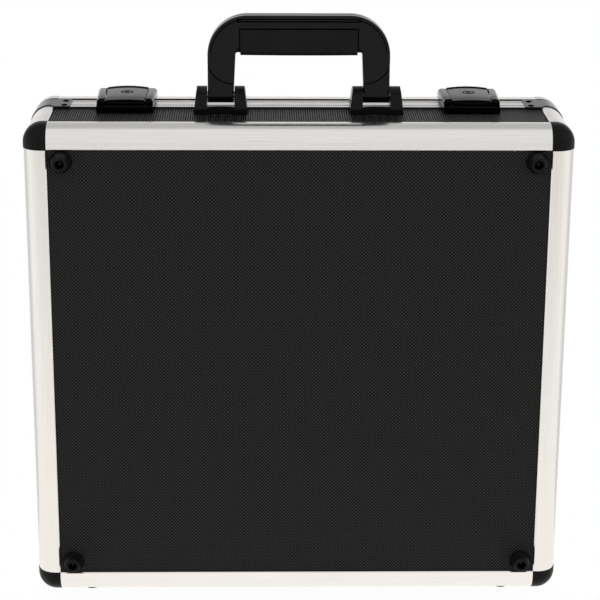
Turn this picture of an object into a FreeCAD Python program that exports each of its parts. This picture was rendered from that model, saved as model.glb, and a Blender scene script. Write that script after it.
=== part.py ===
import FreeCAD, Part
import math
import os

V = FreeCAD.Vector

# Closed case, measured over its aluminium edges
CASE_W = 455.0
CASE_H = 419.5
BASE_D = 103.0
SEAL_GAP = 5.0
LID_D = 25.0

# Aluminium sections, panels and foam
LEG = 20.0
EDGE_R = 16.0
SKIN = 1.5
LIP = 1.2
EDGE_BEVEL = 0.8
PANEL_T = 4.0
PANEL_FIT = 0.3
RAIL_D = 27.0
RAIL_GROOVE = 0.5
RAIL_BANDS = ((0.17, 0.32), (0.6, 0.86))
SLOT_D = 8.0
WEB_T = 2.0
GROOVE_D = 5.0
TONGUE_T = 1.5
TONGUE_OUT = 6.5
TONGUE_END = 1.0
CORNER_PROUD = 0.4
BRACKET_T = 0.8
BRACKET_REACH = 13.2
BRACKET_END_R = 3.0
BRACKET_OVER = 2.0
BRACKET_BACK = 3.5
BRACKET_RIVET_X = 8.2
BRACKET_RIVET_D = (3.4, 20.0)
BRACKET_RIVET_R = 3.0
BRACKET_RIVET_H = 0.9
SEAL_T = 4.4
SEAL_H = 2.8
SEAL_PROUD = 0.3
SEAL_NOTCH = 1.0
FOAM_INSET = 3.3
FLOOR_FOAM = 12.0
WALL_FOAM = 10.0
LID_FOAM = 18.0

# Feet and fasteners
FOOT_H = 10.0
FOOT_R = 9.2
FOOT_TIP_R = 6.1
FOOT_HOLE_R = 3.75
FOOT_HOLE_D = 6.0
FOOT_EDGE_R = 1.2
FOOT_SCREW_R = 2.0
FOOT_HEAD_R = 3.4
FOOT_HEAD_H = 2.0
FOOT_SIDE = 31.5
FOOT_IN = 30.0
STAND_FOOT_SIDE = 44.5
STAND_FOOT_D = 33.0
RIVET_R = 2.7
RIVET_H = 0.5
SHANK_R = 1.5
BORE_FIT = 0.1

# Hinges
HINGE_SIDE = 97.5
HINGE_W = 45.0
BARREL_R = 4.0
BARREL_GAP = 0.5
HINGE_PIN_R = 1.6
LEAF_T = 1.2
LEAF_IN = 2.0
LEAF_OUT = 1.0
LEAF_RIVET_X = 15.0
LEAF_RIVET_D = (7.0, 17.0)
LID_LEAF_RIVET_D = 5.0
KNUCKLES = 5
KNUCKLE_GAP = 0.3
RUN_FIT = 0.05

# Handle and its brackets
HANDLE_W = 153.0
HANDLE_TOP = 81.3
HANDLE_R = 33.5
HANDLE_LEG = 21.8
LEG_FLARE = 1.8
HANDLE_T = 16.0
HANDLE_LEG_T = 13.0
ARCH_EDGE_R = 2.0
LEG_EDGE_R = 2.0
BAR_H = 31.0
BAR_INNER_R = 1.5
PARTING_W = 1.2
PARTING_D = 0.8
SEAM_DOWN = 3.3
SEAM_R = 22.5
SEAM_W = 1.3
SEAM_D = 1.3
RIM_LINE = 2.4
RIM_LINE_W = 0.8
BAR_STEP = 3.3
BAR_LINE = 4.3
BAR_LINE_W = 1.3
BAR_LINE_END = 24.5
CORNER_LINE_W = 1.0
LINE_D = 1.6
PIVOT_Z = 13.0
PIVOT_R = 3.0
PIVOT_REACH = 3.0
PIVOT_END = 0.3
GRIP_END = 5.7
GRIP_T = 17.2
GRIP_DOWN = 11.6
GRIP_DROP = 2.75
GRIP_BOW = 0.3
GRIP_EDGE_R = 3.5
GRIP_CORE = 9.0
GRIP_LINE = 1.1
LEG_PLAY = 0.7
EAR_W = 10.6
EAR_TOP = 20.5
EAR_SHOULDER = 16.0
EAR_STEP = 0.8
EAR_DOME_R = 14.0
EAR_LEAN = 1.5
EAR_LEAN_TOP = 2.2
EAR_PULL = 2.0
BRACKET_D = 23.0
BRACKET_FLOOR = 3.0
BRACKET_BOW = 3.0
BRACKET_LIP = 4.8
BRACKET_LIP_T = 1.2
BRACKET_SCREW_X = 6.0

# Latches
LATCH_SIDE = 22.3
LATCH_L = 45.5
LATCH_BACK = 0.5
LATCH_FLOOR = 2.5
LATCH_WALL = 4.6
LATCH_WALL_T = 2.6
LATCH_NOSE_R = 1.2
LATCH_FLARE = 1.7
CHEEK_W = 5.05
CHEEK_TOP = 9.9
CHEEK_GAP = 1.1
CHEEK_PAST = 1.0
CHEEK_STOP = 2.0
CHEEK_STOP_DOWN = 0.7
CHEEK_STOP_FIT = 0.2
CHEEK_STEP = 4.0
CHEEK_R = 3.0
CHEEK_END_R = 4.0
LEVER_W = 35.2
LEVER_TAPER = 1.45
LEVER_T = 3.0
LEVER_TOP = 10.0
LEVER_FALL = 1.3
LEVER_FRONT_R = 0.8
LEVER_PAST = 0.7
LEVER_BOW = 2.5
LEVER_CROWN_R = 200.0
LEVER_NOSE = 2.0
LEVER_LIP_W = 1.0
LEVER_LIP_H = 0.8
LEVER_PIVOT_IN = 9.0
LEVER_BARREL_R = 2.6
LEVER_BARREL_FIT = 0.2
LEVER_NECK = 5.0
LEVER_PIN_R = 1.5
LEVER_PIN_REACH = 3.0
CLAW_W = 16.0
CLAW_T = 1.5
CLAW_IN = 0.2
CLAW_FIT = 0.3
KEEPER_W = 22.0
KEEPER_T = 1.0
KEEPER_LIP = 3.7
KEEPER_LIP_T = 1.2
KEEPER_END = 0.5
KEEPER_RIVET_X = 8.0
KEEPER_RIVET_D = 5.7
LATCH_RIVET_X = 12.0
LATCH_RIVET_D = (3.5, 20.0)
LOCK_IN = 10.5
LOCK_R = 4.0
LOCK_SUNK = 0.3
LOCK_WELL_R = 5.4
LOCK_WELL_D = 1.1
LOCK_EDGE_R = 0.4
KEY_SLOT_W = 1.8
KEY_SLOT_L = 4.8
KEY_SLOT_D = 2.2
CAM_LIFT = 2.28
CAM_T = 0.7
CAM_L = 9.5
CAM_W = 4.0
LEDGE_LIFT = 1.1
LEDGE_T = 0.65
LEDGE_D0 = 7.0
LEDGE_D1 = 10.0
LEDGE_X0 = 8.0
LEDGE_X1 = 3.0
LEDGE_POST = 2.5

# Places that follow from the sizes above
CASE_D = BASE_D + SEAL_GAP + LID_D
STAND = FOOT_H - SKIN
TOP = STAND + CASE_H
MID_Z = STAND + CASE_H / 2
HALF_W = CASE_W / 2
PANEL_IN = SKIN + PANEL_T
LIP_IN = PANEL_IN + LIP
PANEL_EDGE = EDGE_R + PANEL_FIT
RAIL_0 = BASE_D - RAIL_D
LID_0 = BASE_D + SEAL_GAP
HINGE_D = BASE_D + SEAL_GAP / 2
HINGE_Z = STAND - BARREL_GAP - BARREL_R
HINGE_X = HALF_W - HINGE_SIDE
FOOT_X = HALF_W - FOOT_SIDE
STAND_FOOT_X = HALF_W - STAND_FOOT_SIDE
HANDLE_D = RAIL_0 - BRACKET_D / 2
LEG_X = (HANDLE_W - HANDLE_LEG) / 2
BAR_UNDER = HANDLE_TOP - BAR_H
SEAM_Z = BAR_UNDER - SEAM_DOWN
GRIP_W = HANDLE_W - 2 * (HANDLE_LEG + GRIP_END)
GRIP_HIGH = HANDLE_TOP - GRIP_DOWN
GRIP_LOW = BAR_UNDER - GRIP_DROP
BRACKET_GAP = HANDLE_LEG + 2 * LEG_PLAY
BRACKET_W = BRACKET_GAP + 2 * EAR_W
LATCH_X = (LEG_X + BRACKET_W / 2 + HALF_W - LATCH_SIDE) / 2
LATCH_W = LEVER_W + 2 * (CHEEK_GAP + CHEEK_W)
LATCH_D1 = BASE_D - LATCH_BACK
LATCH_D0 = LATCH_D1 - LATCH_L
CHEEK_END = LID_0 + CHEEK_PAST
LEVER_END = LID_0 + LEVER_PAST
LEVER_PIVOT_D = LATCH_D0 + LEVER_PIVOT_IN
LEVER_PIVOT_Z = LATCH_FLOOR + LEVER_BARREL_FIT + LEVER_BARREL_R
LEVER_UNDER = LEVER_TOP - LEVER_T
CLAW_LOW = KEEPER_LIP + CLAW_FIT
LOCK_D = LATCH_D1 - LOCK_IN
LOCK_TOP = LEVER_TOP - LOCK_SUNK
CAM_Z = LATCH_FLOOR + CAM_LIFT
LEDGE_Z = LATCH_FLOOR + LEDGE_LIFT
ORIGIN_D = (CASE_D + CORNER_PROUD - STAND) / 2

parts = {}
bores = {}
rivets = {"base_rivets": [], "lid_rivets": []}

# Basic shapes


def box(x0, x1, d0, d1, z0, z1):
    return Part.makeBox(x1 - x0, d1 - d0, z1 - z0, V(x0, d0, z0))


def rod(radius, start, end):
    run = end - start
    return Part.makeCylinder(radius, run.Length, start, run)


def join(first, *others):
    return first.fuse(list(others)).removeSplitter()


def loop_face(points):
    return Part.Face(Part.makePolygon(list(points) + [points[0]]))


def corner_face(place, a, b, inset):
    """L-shaped corner outline, a by b, with its outside corner rounded; place turns (u, w) into a point."""
    mid = EDGE_R - (EDGE_R - inset) * math.sqrt(0.5)
    arc = Part.Arc(place(inset, EDGE_R), place(mid, mid), place(EDGE_R, inset)).toShape()
    lines = [place(EDGE_R, inset), place(a, inset), place(a, b), place(inset, b), place(inset, EDGE_R)]
    return Part.Face(Part.Wire([arc] + Part.makePolygon(lines).Edges))


def corner_skin(place, a, b, outer, inner):
    return corner_face(place, a, b, outer).cut(corner_face(place, a, b, inner))


def lip_outline(place, a, b):
    ends = [(PANEL_IN, b), (PANEL_IN, PANEL_IN), (a, PANEL_IN), (a, LIP_IN), (LIP_IN, LIP_IN), (LIP_IN, b)]
    return loop_face([place(u, w) for u, w in ends])


def web_outline(place):
    low = PANEL_IN - 0.5
    ends = [(low, low), (LIP_IN, low), (LIP_IN, LIP_IN), (low, LIP_IN)]
    return loop_face([place(u, w) for u, w in ends])


def edge_section(place, a, b, run):
    """Extruded edge: rounded skin outside, panel slots inside."""
    skin = corner_skin(place, a, b, 0.0, SKIN).extrude(run)
    return join(skin, lip_outline(place, a, b).extrude(run), web_outline(place).extrude(run))


# The four sides share one layout: x along the side, outer plane at z = 0

SIDES = {
    "top": (CASE_W, 0.0, V(0, 0, TOP)),
    "bottom": (CASE_W, 180.0, V(0, 0, STAND)),
    "left": (CASE_H, -90.0, V(-HALF_W, 0, MID_Z)),
    "right": (CASE_H, 90.0, V(HALF_W, 0, MID_Z)),
}
CORNERS = {"top_right": (1, 1), "top_left": (-1, 1), "bottom_right": (1, -1), "bottom_left": (-1, -1)}


def to_side(shape, side):
    turned = shape.copy()
    turned.rotate(V(0, 0, 0), V(0, 1, 0), SIDES[side][1])
    turned.translate(SIDES[side][2])
    return turned


def to_corner(shape, corner):
    """Corner pieces are drawn at the top right and mirrored to the others."""
    turned = shape.copy()
    across, upright = CORNERS[corner]
    if across < 0:
        turned = turned.mirror(V(0, 0, 0), V(1, 0, 0))
    if upright < 0:
        turned = turned.mirror(V(0, 0, MID_Z), V(0, 0, 1))
    return turned


def top_right(u, w, d):
    return V(HALF_W - u, d, TOP - w)


# Fasteners bore the nodes they pass through


def dome(radius, height, base, outward):
    ball_r = (radius * radius + height * height) / (2 * height)
    low = math.degrees(math.asin((ball_r - height) / ball_r))
    centre = base - outward * (ball_r - height)
    return Part.makeSphere(ball_r, centre, outward, low, 90.0, 360.0)


def fastener(targets, base, outward, length, head_r=RIVET_R, head_h=RIVET_H, shank_r=SHANK_R):
    inward = outward * -1
    for node in targets:
        hole = Part.makeCylinder(shank_r + BORE_FIT, length + 1.0, base + outward * 0.5, inward)
        bores.setdefault(node, []).append(hole)
    return join(dome(head_r, head_h, base, outward), Part.makeCylinder(shank_r, length, base, inward))


# Base tray


def base_panels():
    x = HALF_W - PANEL_EDGE
    z0 = STAND + PANEL_EDGE
    z1 = TOP - PANEL_EDGE
    parts["front_panel"] = box(-x, x, SKIN, PANEL_IN, z0, z1)
    for side in SIDES:
        half = SIDES[side][0] / 2 - PANEL_EDGE
        wall = box(-half, half, PANEL_EDGE, RAIL_0 + SLOT_D - WEB_T, -PANEL_IN, -SKIN)
        parts["wall_" + side] = to_side(wall, side)


def base_edge(place, run):
    """Edge of the tray: the extruded section with both its outer rims bevelled."""
    b = EDGE_BEVEL
    edge = edge_section(place, LEG, LEG, run)
    for rim in (((LEG - b, 0.0), (LEG, 0.0), (LEG, b)), ((0.0, LEG - b), (0.0, LEG), (b, LEG))):
        edge = edge.cut(loop_face([place(u, w) for u, w in rim]).extrude(run))
    return edge


def front_edges():
    for side in SIDES:
        half = SIDES[side][0] / 2 - LEG
        edge = base_edge(lambda u, w: V(-half, u, -w), V(2 * half, 0, 0))
        parts["front_edge_" + side] = to_side(edge, side)


def depth_edges():
    edge = base_edge(lambda u, w: top_right(u, w, LEG), V(0, RAIL_0 + BRACKET_BACK - LEG, 0))
    parts["depth_edges"] = Part.makeCompound([to_corner(edge, corner) for corner in CORNERS])


def rounded_cube(inset, depth):
    """Cube at the top right corner with three outer edges rounded; its front face is at d = inset."""
    cube = box(HALF_W - LEG, HALF_W - inset, inset, depth, TOP - LEG, TOP - inset)
    tip = V(HALF_W - inset, inset, TOP - inset)
    outer = [e for e in cube.Edges if min((v.Point - tip).Length for v in e.Vertexes) < 0.01]
    return cube.makeFillet(EDGE_R - inset, outer)


def ball_corners():
    ball = rounded_cube(-CORNER_PROUD, LEG).cut(rounded_cube(SKIN, LEG + 1.0))
    for corner in CORNERS:
        parts["ball_corner_" + corner] = to_corner(ball, corner)


def closure_rails():
    for side in SIDES:
        half = SIDES[side][0] / 2 - LEG
        skin = box(-half, half, RAIL_0, BASE_D, -SKIN, 0)
        lip = box(-half, half, RAIL_0, BASE_D, -LIP_IN, -PANEL_IN)
        stop = box(-half, half, RAIL_0 + SLOT_D, RAIL_0 + SLOT_D + WEB_T, -PANEL_IN, -SKIN)
        bed = box(-half, half, BASE_D - GROOVE_D - WEB_T, BASE_D - GROOVE_D, -PANEL_IN, -SKIN)
        rail = join(skin, lip, stop, bed)
        for near, far in RAIL_BANDS:
            band = box(-half, half, RAIL_0 + near * RAIL_D, RAIL_0 + far * RAIL_D, -RAIL_GROOVE, 1.0)
            rail = rail.cut(band)
        parts["closure_rail_" + side] = to_side(rail, side)


def rail_brackets():
    """Plated corner: bent skin, inner block joining two rails, two legs reaching over their front edges."""
    reach = LEG + BRACKET_REACH
    rivet_in = LEG + BRACKET_RIVET_X
    skin_0 = RAIL_0 + BRACKET_BACK
    front = RAIL_0 - BRACKET_OVER
    skin = corner_skin(lambda u, w: top_right(u, w, skin_0), LEG, LEG, -BRACKET_T, SKIN)
    block_0 = RAIL_0 + SLOT_D
    block = corner_skin(lambda u, w: top_right(u, w, block_0), LEG, LEG, SKIN, LIP_IN)
    solids = [block.extrude(V(0, BASE_D - block_0, 0))]
    plan = [(EDGE_R, skin_0), (LEG, front), (reach, front), (reach, BASE_D), (EDGE_R, BASE_D)]
    across = loop_face([top_right(u, 0.0, d) for u, d in plan]).extrude(V(0, 0, BRACKET_T))
    ends = [e for e in across.Edges if e.BoundBox.XMax < HALF_W - reach + 0.01 and e.BoundBox.YLength < 0.01]
    solids.append(across.makeFillet(BRACKET_END_R, ends))
    down = loop_face([top_right(0.0, u, d) for u, d in plan]).extrude(V(BRACKET_T, 0, 0))
    ends = [e for e in down.Edges if e.BoundBox.ZMax < TOP - reach + 0.01 and e.BoundBox.YLength < 0.01]
    solids.append(down.makeFillet(BRACKET_END_R, ends))
    bracket = join(skin.extrude(V(0, BASE_D - skin_0, 0)), *solids)
    head = (BRACKET_T + SKIN, BRACKET_RIVET_R, BRACKET_RIVET_H)
    heads = rivets["base_rivets"]
    for corner, (across, upright) in CORNERS.items():
        name = "rail_bracket_" + corner
        parts[name] = to_corner(bracket, corner)
        flat = "closure_rail_" + ("top" if upright > 0 else "bottom")
        tall = "closure_rail_" + ("right" if across > 0 else "left")
        face_z = TOP + BRACKET_T if upright > 0 else STAND - BRACKET_T
        leg_z = TOP - rivet_in if upright > 0 else STAND + rivet_in
        for d in BRACKET_RIVET_D:
            on_flat = V(across * (HALF_W - rivet_in), RAIL_0 + d, face_z)
            on_tall = V(across * (HALF_W + BRACKET_T), RAIL_0 + d, leg_z)
            heads.append(fastener((name, flat), on_flat, V(0, 0, upright), *head))
            heads.append(fastener((name, tall), on_tall, V(across, 0, 0), *head))


def round_rect(inset, d):
    r = EDGE_R - inset
    x = HALF_W - inset
    z0 = STAND + inset
    z1 = TOP - inset
    plate = box(-x, x, d, d + SEAL_T, z0, z1)
    return plate.makeFillet(r, [e for e in plate.Edges if abs(e.BoundBox.YLength - SEAL_T) < 0.01])


def seal():
    """Black bead standing a little proud of the split, notched where the hinges pass."""
    bead = round_rect(-SEAL_PROUD, BASE_D).cut(round_rect(SEAL_H - SEAL_PROUD, BASE_D))
    half = HINGE_W / 2 + SEAL_NOTCH
    low = STAND - SEAL_PROUD - 1.0
    for x in (-HINGE_X, HINGE_X):
        bead = bead.cut(box(x - half, x + half, BASE_D - 1.0, LID_0, low, STAND + BORE_FIT))
    parts["seal"] = bead


def foot(base, outward):
    tip = base + outward * FOOT_H
    body = Part.makeCone(FOOT_R, FOOT_TIP_R, FOOT_H, base, outward)
    rim = [e for e in body.Edges if hasattr(e.Curve, "Radius") and abs(e.Curve.Radius - FOOT_TIP_R) < 0.01]
    body = body.makeFillet(FOOT_EDGE_R, rim)
    well = Part.makeCylinder(FOOT_HOLE_R, FOOT_HOLE_D, tip, outward * -1)
    bore = Part.makeCylinder(FOOT_SCREW_R + BORE_FIT, FOOT_H, tip, outward * -1)
    return body.cut(join(well, bore))


FOOT_SCREW = (FOOT_HEAD_R, FOOT_HEAD_H, FOOT_SCREW_R)


def feet():
    front = []
    stand = []
    screws = []
    seat = FOOT_H - FOOT_HOLE_D
    for across, upright in CORNERS.values():
        z = TOP - FOOT_IN if upright > 0 else STAND + FOOT_IN
        base = V(across * FOOT_X, SKIN, z)
        out = V(0, -1, 0)
        front.append(foot(base, out))
        at = base + out * seat
        screws.append(fastener(("front_panel",), at, out, seat + PANEL_T, *FOOT_SCREW))
    for across in (-1, 1):
        base = V(across * STAND_FOOT_X, STAND_FOOT_D, STAND + SKIN)
        out = V(0, 0, -1)
        stand.append(foot(base, out))
        at = base + out * seat
        screws.append(fastener(("wall_bottom",), at, out, seat + PANEL_T, *FOOT_SCREW))
    parts["front_feet"] = Part.makeCompound(front)
    parts["stand_feet"] = Part.makeCompound(stand)
    parts["foot_screws"] = Part.makeCompound(screws)


def base_foam():
    inset = LIP_IN + FOAM_INSET
    floor_1 = LIP_IN + FLOOR_FOAM
    wall_1 = BASE_D - SEAL_GAP
    x = HALF_W - inset
    parts["foam_floor"] = box(-x, x, LIP_IN, floor_1, STAND + inset, TOP - inset)
    pads = []
    for side in SIDES:
        half = SIDES[side][0] / 2 - LIP_IN - WALL_FOAM
        pad = box(-half, half, floor_1, wall_1, -LIP_IN - WALL_FOAM, -LIP_IN)
        pads.append(to_side(pad, side))
    parts["foam_walls"] = Part.makeCompound(pads)


# Lid


def lid_panels():
    x = HALF_W - PANEL_EDGE
    z0 = STAND + PANEL_EDGE
    z1 = TOP - PANEL_EDGE
    parts["lid_panel"] = box(-x, x, CASE_D - PANEL_IN, CASE_D - SKIN, z0, z1)
    inset = LIP_IN + FOAM_INSET
    x = HALF_W - inset
    d1 = CASE_D - LIP_IN
    parts["lid_foam"] = box(-x, x, d1 - LID_FOAM, d1, STAND + inset, TOP - inset)


def lid_edges():
    mid = (SKIN + PANEL_IN) / 2
    for side in SIDES:
        half = SIDES[side][0] / 2 - LEG
        edge = edge_section(lambda u, w: V(-half, CASE_D - u, -w), LID_D, LEG, V(2 * half, 0, 0))
        web = box(-half, half, LID_0, LID_0 + SKIN, -LIP_IN, 0)
        run = half - TONGUE_END
        t = TONGUE_T / 2
        tongue = box(-run, run, LID_0 - TONGUE_OUT, LID_0 + SKIN, -mid - t, -mid + t)
        parts["lid_edge_" + side] = to_side(join(edge, web, tongue), side)


def lid_corners():
    """Plated caps: the rounded cube turned to the rear, drawn long enough to reach the split."""
    cap = rounded_cube(-CORNER_PROUD, LID_D).cut(rounded_cube(SKIN, LID_D + 1.0))
    cap = cap.mirror(V(0, CASE_D / 2, 0), V(0, 1, 0))
    parts["lid_corners"] = Part.makeCompound([to_corner(cap, corner) for corner in CORNERS])


# Hinges on the standing side


def barrel(x0, x1, radius):
    return rod(radius, V(x0, HINGE_D, HINGE_Z), V(x1, HINGE_D, HINGE_Z))


def knuckles():
    step = HINGE_W / KNUCKLES
    spans = []
    for i in range(KNUCKLES):
        x0 = -HINGE_W / 2 + i * step
        spans.append((x0 + KNUCKLE_GAP / 2, x0 + step - KNUCKLE_GAP / 2))
    return spans


def hinge_leaves():
    bore = barrel(-HINGE_W, HINGE_W, HINGE_PIN_R + RUN_FIT)
    clear = BARREL_R + KNUCKLE_GAP
    z0 = STAND - LEAF_T
    half = HINGE_W / 2
    base_leaf = box(-half, half, RAIL_0 + LEAF_IN, HINGE_D - clear, z0, STAND)
    lid_leaf = box(-half, half, HINGE_D + clear, CASE_D - EDGE_R - LEAF_OUT, z0, STAND)
    for i, (x0, x1) in enumerate(knuckles()):
        if i % 2 == 0:
            tab = box(x0, x1, HINGE_D - clear, HINGE_D - KNUCKLE_GAP, z0, STAND)
            base_leaf = join(base_leaf, tab, barrel(x0, x1, BARREL_R))
        else:
            tab = box(x0, x1, HINGE_D + KNUCKLE_GAP, HINGE_D + clear, z0, STAND)
            lid_leaf = join(lid_leaf, tab, barrel(x0, x1, BARREL_R))
    return base_leaf.cut(bore), lid_leaf.cut(bore)


def hinges():
    base_leaf, lid_leaf = hinge_leaves()
    pins = []
    down = V(0, 0, -1)
    face = STAND - LEAF_T
    for name, x in (("left", -HINGE_X), ("right", HINGE_X)):
        parts["hinge_base_leaf_" + name] = base_leaf.translated(V(x, 0, 0))
        parts["hinge_lid_leaf_" + name] = lid_leaf.translated(V(x, 0, 0))
        pins.append(barrel(-HINGE_W / 2, HINGE_W / 2, HINGE_PIN_R).translated(V(x, 0, 0)))
        for dx in (-LEAF_RIVET_X, LEAF_RIVET_X):
            for d in LEAF_RIVET_D:
                nodes = ("hinge_base_leaf_" + name, "closure_rail_bottom")
                at = V(x + dx, RAIL_0 + d, face)
                rivets["base_rivets"].append(fastener(nodes, at, down, LEAF_T + SKIN))
            nodes = ("hinge_lid_leaf_" + name, "lid_edge_bottom")
            at = V(x + dx, LID_0 + LID_LEAF_RIVET_D, face)
            rivets["lid_rivets"].append(fastener(nodes, at, down, LEAF_T + SKIN))
    parts["hinge_pins"] = Part.makeCompound(pins)


# Handle, drawn with z = 0 at the top plane


def u_plate(thick, inset=0.0):
    """Arched plate of the handle's outline, its legs wider at the top; inset draws its outer edge in."""
    half = HANDLE_W / 2 - inset
    inner = HANDLE_W / 2 - HANDLE_LEG
    r = HANDLE_R - inset
    q = BAR_INNER_R
    low = PIVOT_Z
    top = HANDLE_TOP - inset
    rise = BAR_UNDER - low
    slant = math.hypot(LEG_FLARE, rise)
    lean = V(rise / slant, 0, LEG_FLARE / slant)
    hub = V(inner - (q * slant + (rise - q) * LEG_FLARE) / rise, 0, BAR_UNDER - q)
    bend = lean + V(0, 0, 1)
    bend.normalize()
    crown = V(half - r, 0, top - r)
    k = r * math.sqrt(0.5)
    touch = hub + lean * q
    under = hub + V(0, 0, q)
    outer = (crown + V(0, 0, r), crown + V(k, 0, k), crown + V(r, 0, 0))
    corner = (touch, hub + bend * q, under)

    def at(point, side):
        return V(side * point.x, HANDLE_D - thick / 2, point.z)

    def line(p, side_p, s, side_s):
        return Part.makeLine(at(p, side_p), at(s, side_s))

    def arc(points, side):
        return Part.Arc(*[at(p, side) for p in points]).toShape()

    foot_out = V(half, 0, low)
    foot_in = V(inner, 0, low)
    edges = [line(foot_out, -1, outer[2], -1), arc(outer[::-1], -1), line(outer[0], -1, outer[0], 1)]
    edges += [arc(outer, 1), line(outer[2], 1, foot_out, 1), line(foot_out, 1, foot_in, 1)]
    edges += [line(foot_in, 1, touch, 1), arc(corner, 1), line(under, 1, under, -1)]
    edges += [arc(corner[::-1], -1), line(touch, -1, foot_in, -1), line(foot_in, -1, foot_out, -1)]
    return Part.Face(Part.Wire(edges)).extrude(V(0, thick, 0))


def soften(plate, radius):
    rims = []
    for edge in plate.Edges:
        flat = edge.BoundBox.YLength < 0.01
        above = edge.BoundBox.ZMax > PIVOT_Z + 0.01
        if flat and above:
            rims.append(edge)
    return plate.makeFillet(radius, rims)


def leg_ends():
    solids = []
    for across in (-1, 1):
        x = across * LEG_X
        half = HANDLE_LEG / 2
        solids.append(rod(HANDLE_LEG_T / 2, V(x - half, HANDLE_D, PIVOT_Z), V(x + half, HANDLE_D, PIVOT_Z)))
    return solids


def grip_body():
    """Channel clipped over the bar, with a bowed and rounded underside."""
    half = GRIP_W / 2
    d0 = HANDLE_D - GRIP_T / 2
    end = GRIP_LOW + GRIP_BOW
    sides = [V(-half, d0, end), V(-half, d0, GRIP_HIGH), V(half, d0, GRIP_HIGH), V(half, d0, end)]
    bow = Part.Arc(sides[3], V(0, d0, GRIP_LOW), sides[0]).toShape()
    face = Part.Face(Part.Wire(Part.makePolygon(sides).Edges + [bow]))
    block = face.extrude(V(0, GRIP_T, 0))
    rims = [e for e in block.Edges if e.BoundBox.ZMax < BAR_UNDER and e.BoundBox.XLength > 1.0]
    block = block.makeFillet(GRIP_EDGE_R, rims)
    core = GRIP_CORE / 2
    return block.cut(box(-half, half, HANDLE_D - core, HANDLE_D + core, BAR_UNDER, GRIP_HIGH))


def parting_groove():
    return u_plate(PARTING_W).cut(u_plate(PARTING_W, PARTING_D))


def off_core(shape, core):
    """The part of a shape that lies in front of and behind a core of this thickness."""
    reach = 2 * HANDLE_W
    return shape.cut(box(-reach, reach, HANDLE_D - core / 2, HANDLE_D + core / 2, -reach, reach))


def face_lines():
    """Grooves in both faces of the arch: along its rim, along the bar, round the grip and at its ends."""
    thick = 2 * HANDLE_T
    d0 = HANDLE_D - thick / 2
    d1 = HANDLE_D + thick / 2
    rim = u_plate(thick, RIM_LINE).cut(u_plate(thick, RIM_LINE + RIM_LINE_W))
    rim = rim.common(box(-HANDLE_W, HANDLE_W, d0, d1, BAR_UNDER, HANDLE_TOP))
    run = HANDLE_W / 2 - BAR_LINE_END
    high = HANDLE_TOP - BAR_LINE
    bar = box(-run, run, d0, d1, high - BAR_LINE_W, high)
    step = box(-run, run, d0, d1, HANDLE_TOP - BAR_STEP, HANDLE_TOP - RIM_LINE)
    half = GRIP_W / 2 + GRIP_LINE
    around = box(-half, half, d0, d1, 0.0, GRIP_HIGH + GRIP_LINE)
    shapes = [rim, bar, step, around]
    climb = GRIP_END - LEG_FLARE
    w = CORNER_LINE_W / 2
    for across in (-1, 1):
        x0 = across * GRIP_W / 2
        x1 = across * (GRIP_W / 2 + climb + w)
        z0 = BAR_UNDER + BAR_INNER_R / 2 + climb
        z1 = z0 - climb - w
        ends = [V(x0, d0, z0 - w), V(x1, d0, z1 - w), V(x1, d0, z1 + w), V(x0, d0, z0 + w)]
        shapes.append(loop_face(ends).extrude(V(0, thick, 0)))
    return [off_core(shape, HANDLE_T - 2 * LINE_D) for shape in shapes]


def seam_line(x, d0, d1):
    """Groove below the arch's curved edge, in the faces of the leg."""
    ring = rod(SEAM_R + SEAM_W, V(x, d0, SEAM_Z), V(x, d1, SEAM_Z))
    ring = ring.cut(rod(SEAM_R, V(x, d0, SEAM_Z), V(x, d1, SEAM_Z)))
    ring = ring.common(box(-HANDLE_W, HANDLE_W, d0, d1, 0.0, SEAM_Z))
    return off_core(ring, HANDLE_LEG_T - 2 * SEAM_D)


def handle():
    """Frame with a thicker arch above two curved seams, thinner legs below, and a clipped-in grip."""
    legs = soften(u_plate(HANDLE_LEG_T), LEG_EDGE_R)
    arch = soften(u_plate(HANDLE_T), ARCH_EDGE_R)
    d0 = HANDLE_D - HANDLE_T
    d1 = HANDLE_D + HANDLE_T
    zone = [box(-HANDLE_W, HANDLE_W, d0, d1, SEAM_Z, HANDLE_TOP + 1.0)]
    lines = face_lines()
    for across in (-1, 1):
        x = across * (HANDLE_W / 2 - HANDLE_LEG)
        zone.append(rod(SEAM_R, V(x, d0, SEAM_Z), V(x, d1, SEAM_Z)))
        lines.append(seam_line(x, d0, d1))
    arch = arch.common(join(*zone))
    grip = grip_body()
    frame = join(legs, arch, *leg_ends()).cut(grip).cut(parting_groove())
    for line in lines:
        frame = frame.cut(line)
    reach = HANDLE_W / 2 + PIVOT_REACH
    inner = HANDLE_W / 2 - HANDLE_LEG - PIVOT_REACH
    pins = []
    for across in (-1, 1):
        start = V(across * inner, HANDLE_D, PIVOT_Z)
        end = V(across * reach, HANDLE_D, PIVOT_Z)
        pins.append(rod(PIVOT_R, start, end))
        frame = frame.cut(rod(PIVOT_R + RUN_FIT, start, end))
    lift = V(0, 0, TOP)
    parts["handle_frame"] = frame.translated(lift)
    parts["handle_grip"] = grip.translated(lift)
    parts["handle_pins"] = Part.makeCompound(pins).translated(lift)


def ear_loft(across, levels):
    """Ear outline lofted through levels of height, outer narrowing and pull from front and back."""
    inner = across * BRACKET_GAP / 2
    outer = BRACKET_W / 2
    d0 = HANDLE_D - BRACKET_D / 2
    d1 = HANDLE_D + BRACKET_D / 2
    wires = []
    for z, narrow, pull in levels:
        x = across * (outer - narrow)
        ring = [V(inner, d0 + pull, z), V(x, d0 + pull, z), V(x, d1 - pull, z), V(inner, d1 - pull, z)]
        wires.append(Part.makePolygon(ring + [ring[0]]))
    return Part.makeLoft(wires, True, True)


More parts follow.
